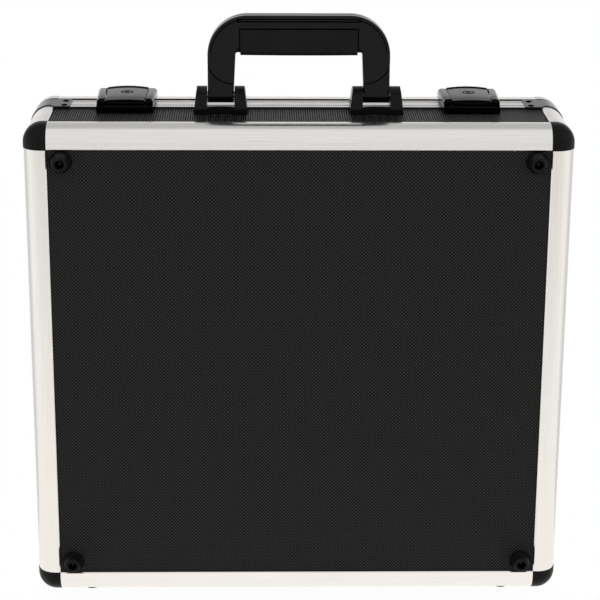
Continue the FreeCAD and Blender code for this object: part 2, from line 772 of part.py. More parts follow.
def bracket_ear(across):
    """Ear that narrows upwards to a shoulder, with a rounded top set back from it."""
    body = ((-SKIN, 0.0, 0.0), (BRACKET_FLOOR, 0.0, 0.0), (EAR_SHOULDER, EAR_LEAN, EAR_PULL))
    back = EAR_PULL + EAR_STEP
    cap = ear_loft(across, ((EAR_SHOULDER, EAR_LEAN, back), (EAR_TOP, EAR_LEAN_TOP, back)))
    centre = EAR_TOP - EAR_DOME_R
    dome = rod(EAR_DOME_R, V(-BRACKET_W, HANDLE_D, centre), V(BRACKET_W, HANDLE_D, centre))
    return join(ear_loft(across, body), cap.common(dome))


def bowed_floor():
    """Floor between the ears; its front edge curves back in the middle and carries a low wall."""
    half = BRACKET_GAP / 2
    d0 = HANDLE_D - BRACKET_D / 2
    d1 = HANDLE_D + BRACKET_D / 2
    sides = [V(half, d0, -SKIN), V(half, d1, -SKIN), V(-half, d1, -SKIN), V(-half, d0, -SKIN)]
    bow = Part.Arc(sides[3], V(0, d0 + BRACKET_BOW, -SKIN), sides[0]).toShape()
    face = Part.Face(Part.Wire(Part.makePolygon(sides).Edges + [bow]))
    tall = V(0, 0, BRACKET_LIP + SKIN)
    wall = face.extrude(tall).cut(face.translated(V(0, BRACKET_LIP_T, 0)).extrude(tall))
    return join(face.extrude(V(0, 0, BRACKET_FLOOR)), wall)


def handle_brackets():
    blank = join(bowed_floor(), bracket_ear(-1), bracket_ear(1))
    reach = HANDLE_LEG / 2 + PIVOT_REACH + PIVOT_END
    axis_0 = V(-reach, HANDLE_D, PIVOT_Z)
    axis_1 = V(reach, HANDLE_D, PIVOT_Z)
    blank = blank.cut(rod(PIVOT_R + RUN_FIT, axis_0, axis_1))
    screws = []
    seat = TOP + BRACKET_FLOOR - SKIN
    for name, x in (("left", -LEG_X), ("right", LEG_X)):
        node = "handle_bracket_" + name
        parts[node] = blank.translated(V(x, 0, TOP))
        for dx in (-BRACKET_SCREW_X, BRACKET_SCREW_X):
            at = V(x + dx, HANDLE_D, seat)
            screws.append(fastener((node, "wall_top"), at, V(0, 0, 1), BRACKET_FLOOR + PANEL_T))
    parts["bracket_screws"] = Part.makeCompound(screws)


# Latches, drawn with x = 0 at the latch and z = 0 at the top plane


def lever_half(d):
    """Half the lever's width at a depth; it widens towards the rear."""
    d0 = LEVER_PIVOT_D - LEVER_NOSE
    return LEVER_W / 2 - LEVER_TAPER * (LEVER_END - d) / (LEVER_END - d0)


def cheeks():
    """Both side walls, rounded outside and at the rear, fitted to the lever and closed behind its gaps."""
    half = LATCH_W / 2
    d0 = LATCH_D0 + CHEEK_STEP
    wide = half + LATCH_FLARE
    plan = [(-wide, CHEEK_END), (-half, d0), (half, d0), (wide, CHEEK_END)]
    block = loop_face([V(x, d, LATCH_FLOOR) for x, d in plan]).extrude(V(0, 0, CHEEK_TOP - LATCH_FLOOR))
    rear = [e for e in block.Edges if e.BoundBox.YMin > CHEEK_END - 0.01 and e.BoundBox.ZLength > 1.0]
    block = block.makeFillet(CHEEK_END_R, rear)
    rims = []
    for edge in block.Edges:
        b = edge.BoundBox
        if b.ZMin > CHEEK_TOP - 0.01 and b.YMin < CHEEK_END - 0.01:
            rims.append(edge)
    block = block.makeFillet(CHEEK_R, rims)
    near = lever_half(d0) + CHEEK_GAP
    far = lever_half(CHEEK_END) + CHEEK_GAP
    ends = [V(-far, CHEEK_END, 0), V(-near, d0, 0), V(near, d0, 0), V(far, CHEEK_END, 0)]
    block = block.cut(loop_face(ends).extrude(V(0, 0, 2 * CHEEK_TOP)))
    stops = []
    high = LEVER_TOP - CHEEK_STOP_DOWN
    for across in (-1, 1):
        x0, x1 = sorted((across * (LEVER_W / 2 + CHEEK_STOP_FIT), across * (far + 0.5)))
        stops.append(box(x0, x1, CHEEK_END - CHEEK_STOP, CHEEK_END, LATCH_FLOOR, high))
    return [block] + stops


def latch_housing():
    half = LATCH_W / 2
    front = box(-half, half, LATCH_D0, RAIL_0, -SKIN, LATCH_FLOOR)
    rear = box(-half, half, RAIL_0, LATCH_D1, 0, LATCH_FLOOR)
    wall = box(-half, half, LATCH_D0, LATCH_D0 + LATCH_WALL_T, -SKIN, LATCH_WALL)
    high = [e for e in wall.Edges if e.BoundBox.ZMin > LATCH_WALL - 0.01]
    nose = [e for e in high if e.BoundBox.YMax < LATCH_D0 + 0.01]
    d0 = LOCK_D + LEDGE_D0
    d1 = LOCK_D + LEDGE_D1
    ledge = box(-LEDGE_X0, LEDGE_X1, d0, d1, LEDGE_Z, LEDGE_Z + LEDGE_T)
    post = box(-LEDGE_X0, LEDGE_POST - LEDGE_X0, d0, d1, LATCH_FLOOR, LEDGE_Z + LEDGE_T)
    solids = [rear, wall.makeFillet(LATCH_NOSE_R, nose), ledge, post] + cheeks()
    return join(front, *solids).cut(lever_pin(RUN_FIT))


def lever_pin(extra=0.0):
    reach = LEVER_W / 2 + CHEEK_GAP + LEVER_PIN_REACH
    start = V(-reach, LEVER_PIVOT_D, LEVER_PIVOT_Z)
    end = V(reach, LEVER_PIVOT_D, LEVER_PIVOT_Z)
    return rod(LEVER_PIN_R + extra, start, end)


def crowned(plate, top):
    """Plate cut to a crown across its width that falls towards the front."""
    centre = top - LEVER_CROWN_R
    fall = math.atan(LEVER_FALL / (LEVER_END - LEVER_PIVOT_D + LEVER_NOSE))
    drum = rod(LEVER_CROWN_R, V(0, 0, centre), V(0, 2 * LEVER_END, centre))
    drum.rotate(V(0, 0, centre), V(0, 1, 0), 180.0)
    drum.rotate(V(0, LEVER_END, centre), V(1, 0, 0), math.degrees(fall))
    return plate.common(drum)


def lever_body():
    """Crowned lever with a bowed, lipped rear edge, a pivot barrel in front and a claw behind."""
    a = LEVER_W / 2 - LEVER_TAPER
    b = LEVER_W / 2
    d0 = LEVER_PIVOT_D - LEVER_NOSE
    z = LEVER_UNDER
    far = LEVER_END + LEVER_BOW
    sides = [V(-b, LEVER_END, z), V(-a, d0, z), V(a, d0, z), V(b, LEVER_END, z)]
    bow = Part.Arc(V(b, LEVER_END, z), V(0, far, z), V(-b, LEVER_END, z)).toShape()
    face = Part.Face(Part.Wire(Part.makePolygon(sides).Edges + [bow]))
    blank = face.extrude(V(0, 0, 2 * LEVER_T))
    plate = crowned(blank, LEVER_TOP)
    front = [e for e in plate.Edges if e.BoundBox.YMax < d0 + 0.01 and e.BoundBox.XLength > a]
    plate = plate.makeFillet(LEVER_FRONT_R, [e for e in front if e.BoundBox.ZMax > z + 0.5])
    rim = crowned(blank, LEVER_TOP + LEVER_LIP_H)
    lip = rim.cut(blank.translated(V(0, -LEVER_LIP_W, 0)))
    axis_0 = V(-a, LEVER_PIVOT_D, LEVER_PIVOT_Z)
    axis_1 = V(a, LEVER_PIVOT_D, LEVER_PIVOT_Z)
    inside = z + LEVER_T / 4
    neck = box(-a, a, LEVER_PIVOT_D, LEVER_PIVOT_D + LEVER_NECK, LEVER_PIVOT_Z, inside)
    c = CLAW_W / 2
    claw = box(-c, c, far - CLAW_T - CLAW_IN, far - CLAW_IN, CLAW_LOW, inside)
    body = join(plate, lip, rod(LEVER_BARREL_R, axis_0, axis_1), neck, claw)
    hole = Part.makeCylinder(LOCK_R + RUN_FIT, LEVER_TOP, V(0, LOCK_D, z / 2))
    well = Part.makeCylinder(LOCK_WELL_R, LEVER_TOP, V(0, LOCK_D, LEVER_TOP - LOCK_WELL_D))
    return body.cut(lever_pin(RUN_FIT)).cut(hole).cut(well)


def lock_plug():
    shaft = Part.makeCylinder(LOCK_R, LOCK_TOP - CAM_Z, V(0, LOCK_D, CAM_Z))
    rim = [e for e in shaft.Edges if e.BoundBox.ZMin > LOCK_TOP - 0.01]
    shaft = shaft.makeFillet(LOCK_EDGE_R, rim)
    cam = box(0, CAM_L, LOCK_D - CAM_W / 2, LOCK_D + CAM_W / 2, CAM_Z, CAM_Z + CAM_T)
    w = KEY_SLOT_W / 2
    run = KEY_SLOT_L / 2
    slot = box(-w, w, LOCK_D - run, LOCK_D + run, LOCK_TOP - KEY_SLOT_D, LOCK_TOP + 1.0)
    return join(shaft, cam).cut(slot)


def keeper():
    half = KEEPER_W / 2
    c = (CLAW_W + KEEPER_W) / 4
    plate = box(-half, half, LID_0, CASE_D - EDGE_R - KEEPER_END, 0, KEEPER_T)
    lip = box(-c, c, LID_0, LID_0 + KEEPER_LIP_T, 0, KEEPER_LIP)
    return join(plate, lip)


def latches():
    pins = []
    up = V(0, 0, 1)
    drawn = {"latch_housing_": latch_housing(), "latch_lever_": lever_body()}
    drawn.update({"lock_plug_": lock_plug(), "latch_keeper_": keeper()})
    for name, x in (("left", -LATCH_X), ("right", LATCH_X)):
        at = V(x, 0, TOP)
        for stem, shape in drawn.items():
            hand = shape.mirror(V(0, 0, 0), V(1, 0, 0)) if name == "left" else shape
            parts[stem + name] = hand.translated(at)
        pins.append(lever_pin().translated(at))
        for dx in (-LATCH_RIVET_X, LATCH_RIVET_X):
            for d in LATCH_RIVET_D:
                nodes = ("latch_housing_" + name, "closure_rail_top")
                spot = V(x + dx, RAIL_0 + d, TOP + LATCH_FLOOR)
                rivets["base_rivets"].append(fastener(nodes, spot, up, LATCH_FLOOR + SKIN))
        for dx in (-KEEPER_RIVET_X, KEEPER_RIVET_X):
            nodes = ("latch_keeper_" + name, "lid_edge_top")
            spot = V(x + dx, LID_0 + KEEPER_RIVET_D, TOP + KEEPER_T)
            rivets["lid_rivets"].append(fastener(nodes, spot, up, KEEPER_T + SKIN))
    parts["lever_pins"] = Part.makeCompound(pins)


base_panels()
front_edges()
depth_edges()
ball_corners()
closure_rails()
rail_brackets()
seal()
feet()
base_foam()
lid_panels()
lid_edges()
lid_corners()
hinges()
handle()
handle_brackets()
latches()

for group, solids in rivets.items():
    parts[group] = Part.makeCompound(solids)

os.makedirs("parts", exist_ok=True)
for node, shape in parts.items():
    for hole in bores.get(node, []):
        shape = shape.cut(hole)
    shape.translated(V(0, -ORIGIN_D, 0)).exportStep("parts/" + node + ".step")
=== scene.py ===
import math

import bpy
from mathutils import Matrix, Vector

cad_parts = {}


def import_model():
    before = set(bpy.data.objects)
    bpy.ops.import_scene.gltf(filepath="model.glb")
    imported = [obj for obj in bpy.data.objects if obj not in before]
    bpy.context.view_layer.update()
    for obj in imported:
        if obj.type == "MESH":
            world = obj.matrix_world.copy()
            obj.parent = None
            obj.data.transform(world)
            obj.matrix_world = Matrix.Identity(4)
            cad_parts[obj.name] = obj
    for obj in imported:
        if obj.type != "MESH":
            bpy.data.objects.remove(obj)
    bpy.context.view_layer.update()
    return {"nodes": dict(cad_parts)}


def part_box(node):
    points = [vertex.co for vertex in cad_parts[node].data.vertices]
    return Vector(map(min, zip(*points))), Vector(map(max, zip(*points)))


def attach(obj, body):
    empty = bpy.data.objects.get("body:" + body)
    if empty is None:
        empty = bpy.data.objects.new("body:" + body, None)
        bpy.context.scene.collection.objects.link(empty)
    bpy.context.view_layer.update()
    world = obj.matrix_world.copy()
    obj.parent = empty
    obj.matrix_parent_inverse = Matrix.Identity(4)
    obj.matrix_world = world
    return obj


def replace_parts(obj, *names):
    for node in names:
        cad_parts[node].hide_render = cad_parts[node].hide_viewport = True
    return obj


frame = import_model()
NODES = frame["nodes"]
MM = 0.001

# Camera, as the photograph was taken
CAMERA_AT = Vector((-30.13, -1630.26, 788.99)) * MM
CAMERA_PITCH = math.radians(17.991)
CAMERA_YAW = math.radians(1.137)
CAMERA_ROLL = math.radians(0.344)
FOCAL_PIXELS = 1965.56
FRAME_PIXELS = 600.0
SENSOR_MM = 36.0

# Laminate: diamond emboss, fine ribs, surface grain
DIAMOND = 3.0 * MM
EMBOSS_DEPTH = 0.5 * MM
RIB = 1.93 * MM
LAMINATE_GRAIN = 0.03 * MM

# Metal: draw lines along an extrusion, unevenness of a plated surface
ALONG_X = (0.02, 1.0, 1.0)
ALONG_Y = (1.0, 0.02, 1.0)
ALONG_Z = (1.0, 1.0, 0.02)
LINE_DEPTH = 0.012 * MM
PLATING_DEPTH = 0.02 * MM

# Painted shade: width of the painted shadow line along a rail's front edge, least lean to the front of a
# face painted black as shade, reach of the painted shade in grooves
RAIL_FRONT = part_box("closure_rail_top")[0].y
RAIL_SHADOW_LINE = 0.25 * MM
FRONT_LEAN = 0.35
PAINTED_SHADE_BLACK = (0.006, 0.006, 0.006, 1.0)
GROOVE_SHADE_REACH = 2.0 * MM

# Latches: depth over which their painted sheen rises from front to rear, its share in front; radius of the
# painted shadow round the lock's key slot
LATCH_PAINTED_SHEEN_SPAN = (11.0 * MM, 44.0 * MM)
LATCH_PAINTED_SHEEN_FRONT = 0.06
KEYHOLE_SHADOW_R = 2.3 * MM

# Foam: egg-crate waves, ripple of the floor pad, pad edges, wall lining, surface
EGG_PITCH = 30.0 * MM
EGG_BASE = 9.0 * MM
EGG_SHARPNESS = 1.25
RIPPLE_X = 23.0 * MM
RIPPLE_Z = 29.0 * MM
RIPPLE_DEPTH = 0.35 * MM
PAD_STEP = 4.0 * MM
PAD_EDGE = 3.5 * MM
PAD_EDGE_LEAST = 0.25
LINING_T = 10.0 * MM
LINING_ROLL = 3.0 * MM
LINING_OUTER_R = 11.0 * MM
LINING_INNER_R = 3.0 * MM
ROLL_STEPS = 5
CORNER_STEPS = 8
PORE_DEPTH = 0.5 * MM
FOAM_LUMPS = 0.8 * MM

# Stage: the floor ends behind the hinge pins, so that the lid can swing past it
FLOOR_REACH = 3.0
FLOOR_BACK = 45.0 * MM
CONTACT_REACH = 20.0 * MM
CONTACT_SHADE = 0.97
FLOOR_FADE = (-1.9, -0.3)
FLOOR_FAR = 0.78
FLOOR_WARM = (1.0, 0.98, 0.945, 1.0)
WHITE = (1.0, 1.0, 1.0, 1.0)

# Levels of the surroundings, where 1 is white
FILL_LEVEL = 0.7
ABOVE_LEVEL = 0.5
OBLIQUE_LEVEL = 0.66
FRONT_LEVEL = 0.8


# Node helpers


def feed(tree, value, socket):
    """Sets a socket to a number, or links an output to it."""
    if isinstance(value, (int, float)):
        socket.default_value = value
    else:
        tree.links.new(value, socket)


def calculate(tree, operation, *values):
    made = tree.nodes.new("ShaderNodeMath")
    made.operation = operation
    for value, socket in zip(values, made.inputs):
        feed(tree, value, socket)
    return made.outputs[0]


def ramp(tree, value, source, target):
    """Maps a range of one number onto another, held at both ends."""
    made = tree.nodes.new("ShaderNodeMapRange")
    made.inputs["From Min"].default_value = source[0]
    made.inputs["From Max"].default_value = source[1]
    made.inputs["To Min"].default_value = target[0]
    made.inputs["To Max"].default_value = target[1]
    tree.links.new(value, made.inputs["Value"])
    return made.outputs["Result"]


def between(tree, factor, a, b):
    """Runs from a to b with the factor."""
    made = tree.nodes.new("ShaderNodeMix")
    for name, value in (("Factor", factor), ("A", a), ("B", b)):
        feed(tree, value, made.inputs[name])
    return made.outputs["Result"]


def axes(tree, vector):
    made = tree.nodes.new("ShaderNodeSeparateXYZ")
    tree.links.new(vector, made.inputs["Vector"])
    return made.outputs


class Shader:
    """One Principled material with short calls for the textures that feed it."""

    def __init__(self, name, colour, roughness, metallic=0.0, specular=0.5):
        self.material = bpy.data.materials.new(name)
        self.material.use_nodes = True
        self.tree = self.material.node_tree
        self.bsdf = self.tree.nodes["Principled BSDF"]
        self.set("Base Color", (*colour, 1.0))
        self.set("Roughness", roughness)
        self.set("Metallic", metallic)
        self.set("Specular IOR Level", specular)
        self.coords = self.node("ShaderNodeTexCoord").outputs
        self.place = self.coords["Object"]
        self.normal = None

    def set(self, socket, value):
        self.bsdf.inputs[socket].default_value = value

    def node(self, kind, **settings):
        made = self.tree.nodes.new(kind)
        for key, value in settings.items():
            setattr(made, key, value)
        return made

    def link(self, source, target):
        self.tree.links.new(source, target)

    def math(self, operation, *values):
        return calculate(self.tree, operation, *values)

    def stretched(self, stretch):
        mapping = self.node("ShaderNodeMapping")
        mapping.inputs["Scale"].default_value = stretch
        self.link(self.place, mapping.inputs["Vector"])
        return mapping.outputs["Vector"]

    def noise(self, scale, detail=3.0, stretch=(1.0, 1.0, 1.0)):
        made = self.node("ShaderNodeTexNoise")
        made.inputs["Scale"].default_value = scale
        made.inputs["Detail"].default_value = detail
        made.inputs["Roughness"].default_value = 0.55
        self.link(self.stretched(stretch), made.inputs["Vector"])
        return made.outputs["Fac"]

    def cells(self, scale):
        made = self.node("ShaderNodeTexVoronoi")
        made.inputs["Scale"].default_value = scale
        self.link(self.place, made.inputs["Vector"])
        return made.outputs["Distance"]

    def spread(self, factor, low, high, start=0.3, end=0.7):
        """Maps a factor's stretch from start to end onto a range of numbers."""
        return ramp(self.tree, factor, (start, end), (low, high))

    def tint(self, factor, low, high, start=0.3, end=0.7):
        """Base colour running between two colours."""
        made = self.node("ShaderNodeValToRGB")
        first, last = made.color_ramp.elements
        first.position = start
        first.color = (*low, 1.0)
        last.position = end
        last.color = (*high, 1.0)
        self.link(factor, made.inputs["Fac"])
        self.link(made.outputs["Color"], self.bsdf.inputs["Base Color"])

    def painted_groove_shade(self, start=0.4, end=0.8):
        """Painted shade: colour and shine fall off in grooves and narrow gaps, where shade falls."""
        made = self.node("ShaderNodeAmbientOcclusion", samples=6)
        made.inputs["Distance"].default_value = GROOVE_SHADE_REACH
        self.fade(self.spread(made.outputs["AO"], 0.0, 1.0, start, end))

    def fade(self, share):
        """Colour and shine both scaled by a factor."""
        shine = self.bsdf.inputs["Specular IOR Level"]
        level = shine.links[0].from_socket if shine.links else shine.default_value
        self.link(self.math("MULTIPLY", share, level), shine)
        mix = self.node("ShaderNodeMixRGB", blend_type="MULTIPLY")
        mix.inputs["Fac"].default_value = 1.0
        self.link(self.bsdf.inputs["Base Color"].links[0].from_socket, mix.inputs["Color1"])
        self.link(share, mix.inputs["Color2"])
        self.link(mix.outputs["Color"], self.bsdf.inputs["Base Color"])

    def roughen(self, factor, low, high):
        self.link(self.spread(factor, low, high), self.bsdf.inputs["Roughness"])

    def bump(self, height, distance):
        """Surface relief, on top of any relief given before."""
        made = self.node("ShaderNodeBump")
        made.inputs["Distance"].default_value = distance
        made.inputs["Strength"].default_value = 1.0
        self.link(height, made.inputs["Height"])
        if self.normal is not None:
            self.link(self.normal, made.inputs["Normal"])
        self.normal = made.outputs["Normal"]
        self.link(self.normal, self.bsdf.inputs["Normal"])


def grey(value, warm=0.0):
    return (value * (1.0 + warm), value, value * (1.0 - warm))


# Materials


def laminate(name, first, second, ribbed=False):
    """Black laminate with small diamonds in the plane of two axes, painted darker in their valleys and
    lighter on their peaks, and with ribs along the second if ribbed, painted as light and dark stripes in
    colour and shine.
    """
    s = Shader(name, grey(0.006), roughness=0.42, specular=0.15)
    place = axes(s.tree, s.place)
    a = place[first]
    b = place[second]
    waves = []
    for along in (s.math("ADD", a, b), s.math("SUBTRACT", a, b)):
        turn = s.math("MULTIPLY", along, 1.0 / DIAMOND)
        waves.append(s.math("PINGPONG", turn, 0.5))
    diamond = s.math("MULTIPLY", s.math("MINIMUM", *waves), 2.0)
    # painted shade and light: the diamonds' valleys darker and their peaks lighter in colour
    s.tint(diamond, low=grey(0.0005), high=grey(0.056), start=0.33, end=0.9)
    s.painted_groove_shade(start=0.5, end=0.85)
    if ribbed:
        # painted light and shade of the ribs: stripes in colour and shine, with no relief
        rib = s.math("PINGPONG", s.math("MULTIPLY", a, 1.0 / RIB), 0.5)
        s.fade(s.spread(rib, low=0.03, high=2.4, start=0.15, end=0.35))
    s.roughen(s.noise(scale=220.0), low=0.36, high=0.48)
    s.bump(diamond, EMBOSS_DEPTH)
    s.bump(s.noise(scale=2600.0, detail=2.0), LAMINATE_GRAIN)
    return s.material


def aluminium(name, stretch, colour, rough=(0.2, 0.27)):
    """Satin anodised extrusion with faint lines along its run."""
    s = Shader(name, grey(colour), rough[0], metallic=1.0)
    lines = s.noise(scale=900.0, stretch=stretch)
    # slight warm cast in the colour: painted reflection of the warm floor
    s.tint(lines, low=grey(colour * 0.965, warm=0.018), high=grey(colour * 1.02, warm=0.026))
    s.roughen(s.noise(scale=60.0, detail=4.0), *rough)
    s.bump(lines, LINE_DEPTH)
    return s


def paint_shade_black(s, edge):
    """Painted shade: flat black in place of bare metal where the mask is 1."""
    mix = s.node("ShaderNodeMixRGB")
    mix.inputs["Color2"].default_value = PAINTED_SHADE_BLACK
    s.link(edge, mix.inputs["Fac"])
    s.link(s.bsdf.inputs["Base Color"].links[0].from_socket, mix.inputs["Color1"])
    s.link(mix.outputs["Color"], s.bsdf.inputs["Base Color"])
    s.link(s.math("SUBTRACT", 1.0, edge), s.bsdf.inputs["Metallic"])
    return s.material


def rail(name, stretch):
    """Satin rail with a painted shadow line along its front edge."""
    s = aluminium(name, stretch, colour=0.7, rough=(0.24, 0.34))
    # painted shadow: a black strip along the front edge, where the rail steps down to the laminate
    return paint_shade_black(s, s.math("LESS_THAN", axes(s.tree, s.place)["Y"], RAIL_FRONT + RAIL_SHADOW_LINE))


def plated(name, colour, rough):
    """Plated metal with cloudy brightness and a slightly uneven surface."""
    s = Shader(name, grey(colour), rough, metallic=1.0)
    cloud = s.noise(scale=30.0, detail=4.0)
    s.tint(cloud, low=grey(colour * 0.86), high=grey(colour * 1.05, warm=0.008))
    s.roughen(s.noise(scale=90.0), low=rough * 0.75, high=rough * 1.3)
    s.bump(s.noise(scale=140.0, detail=2.0), PLATING_DEPTH)
    return s


def corner_plate(name, colour, rough):
    """Plated rail corner with painted shade: its faces to the front are black."""
    s = plated(name, colour, rough)
    s.set("Specular Tint", (0.8, 0.78, 0.8, 1.0))
    # painted shade: faces leaning to the front are black
    return paint_shade_black(s, s.math("LESS_THAN", axes(s.tree, s.coords["Normal"])["Y"], -FRONT_LEAN))


def lock_face(name):
    """Lock plug with a painted shadow round its key slot; the plug's round face spans its box in y."""
    s = Shader(name, grey(0.003), roughness=0.25, specular=0.4)
    s.tint(s.noise(scale=300.0), low=grey(0.002), high=grey(0.005))
    low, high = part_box("lock_plug_right")
    radius = (high.y - low.y) / 2
    place = axes(s.tree, s.place)
    across = s.math("SUBTRACT", s.math("ABSOLUTE", place["X"]), low.x + radius)
    along = s.math("SUBTRACT", place["Y"], low.y + radius)
    apart = s.math("ADD", s.math("MULTIPLY", across, across), s.math("MULTIPLY", along, along))
    # painted shadow: a black disc without shine round the key slot
    s.fade(s.math("GREATER_THAN", apart, KEYHOLE_SHADOW_R ** 2))
    return s.material


def moulded(name, colour, rough, specular, grain, depth, dark=(0.4, 0.8), painted_sheen_span=None):
    """Black plastic or lacquer with a fine grain; if a depth span is given, painted sheen and shade:
    colour and shine fall towards the front of that span.
    """
    s = Shader(name, grey(colour), rough, specular=specular)
    s.tint(s.noise(scale=45.0, detail=5.0), low=grey(colour * 0.75), high=grey(colour * 1.3, warm=0.01))
    if painted_sheen_span:
        # painted sheen and shade: colour and shine fall from rear to front
        s.fade(s.spread(axes(s.tree, s.place)["Y"], LATCH_PAINTED_SHEEN_FRONT, 1.0, *painted_sheen_span))
    # painted shade in grooves and gaps, over the given range of open share
    s.painted_groove_shade(*dark)
    s.roughen(s.noise(scale=160.0), low=rough * 0.85, high=rough * 1.15)
    s.bump(s.noise(scale=grain, detail=2.0), depth)
    return s.material


def foam_material(name):
    """Open-cell foam: dull and pitted, with painted shade in its pits and painted light that makes its
    peaks slightly lighter.
    """
    s = Shader(name, grey(0.04), roughness=0.95, specular=0.1)
    s.set("Sheen Weight", 0.25)
    s.set("Sheen Roughness", 0.6)
    pores = s.cells(scale=900.0)
    # painted shade in the pits and painted light on the peaks of the pore relief
    s.tint(pores, low=grey(0.016), high=grey(0.055), start=0.05, end=0.6)
    s.bump(pores, PORE_DEPTH)
    s.bump(s.noise(scale=60.0, detail=5.0), FOAM_LUMPS)
    return s.material


def metals():
    return {
        "alu_x": aluminium("aluminium_along_x", ALONG_X, colour=0.9).material,
        # darker copy of the same aluminium for the depth edges: painted shade on the sides
        "alu_y": aluminium("aluminium_along_y", ALONG_Y, colour=0.74).material,
        "alu_z": aluminium("aluminium_along_z", ALONG_Z, colour=0.88).material,
        "rail_x": rail("rail_along_x", ALONG_X),
        "rail_z": rail("rail_along_z", ALONG_Z),
        "plated": plated("bright_plating", colour=0.62, rough=0.16).material,
        "dark_plating": corner_plate("dark_plating", colour=0.05, rough=0.15),
        "steel": plated("plain_steel", colour=0.42, rough=0.3).material,
        "nickel": plated("nickel_plating", colour=0.6, rough=0.24).material,
    }


def black_finishes():
    """Mouldings, rubber and lacquer: colour, roughness, specular level, grain scale and grain depth."""
    return {
        "rivet": moulded("blackened_rivet", 0.002, 0.5, 0.02, 900.0, 0.02 * MM),
        "corner": moulded("corner_plastic", 0.003, 0.4, 0.13, 1500.0, 0.03 * MM),
        "black_metal": moulded("blackened_metal", 0.004, 0.35, 0.2, 900.0, 0.02 * MM),
        "rubber": moulded("foot_rubber", 0.004, 0.45, 0.14, 1200.0, 0.05 * MM),
        "seal": moulded("seal_rubber", 0.002, 0.8, 0.01, 1200.0, 0.05 * MM),
        "handle": moulded("handle_plastic", 0.003, 0.15, 0.19, 1700.0, 0.006 * MM),
        "bracket": moulded("bracket_plastic", 0.003, 0.25, 0.15, 1500.0, 0.015 * MM),
        "grip": moulded("grip_rubber", 0.005, 0.5, 0.14, 1100.0, 0.05 * MM),
        "latch": moulded("latch_lacquer", 0.003, 0.17, 0.9, 900.0, 0.01 * MM, (0.6, 0.95), LATCH_PAINTED_SHEEN_SPAN),
        "lock": lock_face("lock_face"),
    }


MATERIALS = {
    "laminate_front": laminate("laminate_front", 0, 2),
    "laminate_flat": laminate("laminate_flat", 0, 1, ribbed=True),
    "laminate_side": laminate("laminate_side", 1, 2),
    **metals(),
    **black_finishes(),
    "foam": foam_material("open_cell_foam"),
}


def dress(material, *nodes):
    for node in nodes:
        slots = NODES[node].data.materials
        slots.clear()
        slots.append(MATERIALS[material])


def both(stem):
    return [stem + side for side in ("left", "right")]


def dress_all():
    dress("laminate_front", "front_panel", "lid_panel")
    dress("laminate_flat", "wall_top", "wall_bottom")
    dress("laminate_side", "wall_left", "wall_right")
    for stem in ("front_edge_", "lid_edge_"):
        dress("alu_x", stem + "top", stem + "bottom")
        dress("alu_z", *both(stem))
    dress("alu_y", "depth_edges")
    dress("rail_x", "closure_rail_top", "closure_rail_bottom")
    dress("rail_z", *both("closure_rail_"))
    for level in ("top_", "bottom_"):
        dress("corner", *both("ball_corner_" + level))
        dress("dark_plating", *both("rail_bracket_" + level))
    dress("plated", "lid_corners")
    dress("rivet", "base_rivets", "lid_rivets", "lever_pins")
    dress("black_metal", "bracket_screws", "foot_screws")
    dress("steel", "hinge_pins", "handle_pins", *both("latch_keeper_"))
    dress("seal", "seal")
    dress("rubber", "front_feet", "stand_feet")
    dress("nickel", *both("hinge_base_leaf_"), *both("hinge_lid_leaf_"))
    dress("handle", "handle_frame")
    dress("grip", "handle_grip")
    dress("bracket", *both("handle_bracket_"))
    dress("latch", *both("latch_housing_"), *both("latch_lever_"))
    dress("lock", *both("lock_plug_"))


# Foam lining


def foam_piece(name, points, faces, body):
    mesh = bpy.data.meshes.new(name)
    mesh.from_pydata(points, [], faces)
    mesh.validate()
    mesh.polygons.foreach_set("use_smooth", [True] * len(mesh.polygons))
    mesh.materials.append(MATERIALS["foam"])
    piece = bpy.data.objects.new(name, mesh)
    bpy.context.scene.collection.objects.link(piece)
    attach(piece, body)
    return piece


def steps(low, high):
    count = max(2, round((high - low) / PAD_STEP))
    return [low + (high - low) * i / count for i in range(count + 1)]


def rolled(depth, height):
    """Height near an edge that is rounded off; depth is the distance from that edge."""
    if depth >= PAD_EDGE:
        return height
    fall = PAD_EDGE - math.sqrt(PAD_EDGE ** 2 - (PAD_EDGE - depth) ** 2)
    return max(height - fall, PAD_EDGE_LEAST * height)


def pad(name, low, high, facing, height, body):
    """Closed foam pad on an x-z back plane; its open face looks along facing (+1 or -1) in y."""
    xs = steps(low.x, high.x)
    zs = steps(low.z, high.z)
    back = low.y if facing > 0 else high.y
    points = []
    for z in zs:
        for x in xs:
            edge = min(x - low.x, high.x - x, z - low.z, high.z - z)
            points.append((x, back + facing * rolled(edge, height(x, z)), z))
    wide = len(xs)
    faces = []
    for j in range(len(zs) - 1):
        for i in range(wide - 1):
            k = j * wide + i
            faces.append((k, k + 1, k + wide + 1, k + wide))
    rim = list(range(wide))
    rim += [j * wide + wide - 1 for j in range(1, len(zs))]
    rim += [(len(zs) - 1) * wide + i for i in range(wide - 2, -1, -1)]
    rim += [j * wide for j in range(len(zs) - 2, 0, -1)]
    base = len(points)
    points += [(points[k][0], back, points[k][2]) for k in rim]
    count = len(rim)
    for i in range(count):
        n = (i + 1) % count
        faces.append((rim[n], rim[i], base + i, base + n))
    faces.append(tuple(base + i for i in range(count - 1, -1, -1)))
    if facing > 0:
        faces = [tuple(reversed(face)) for face in faces]
    return foam_piece(name, points, faces, body)


def floor_height(low, high):
    """Flat pad with a faint ripple."""
    full = high.y - low.y

    def height(x, z):
        ripple = math.sin(x / RIPPLE_X) * math.sin(z / RIPPLE_Z)
        return full - RIPPLE_DEPTH * (1.0 + ripple)

    return height


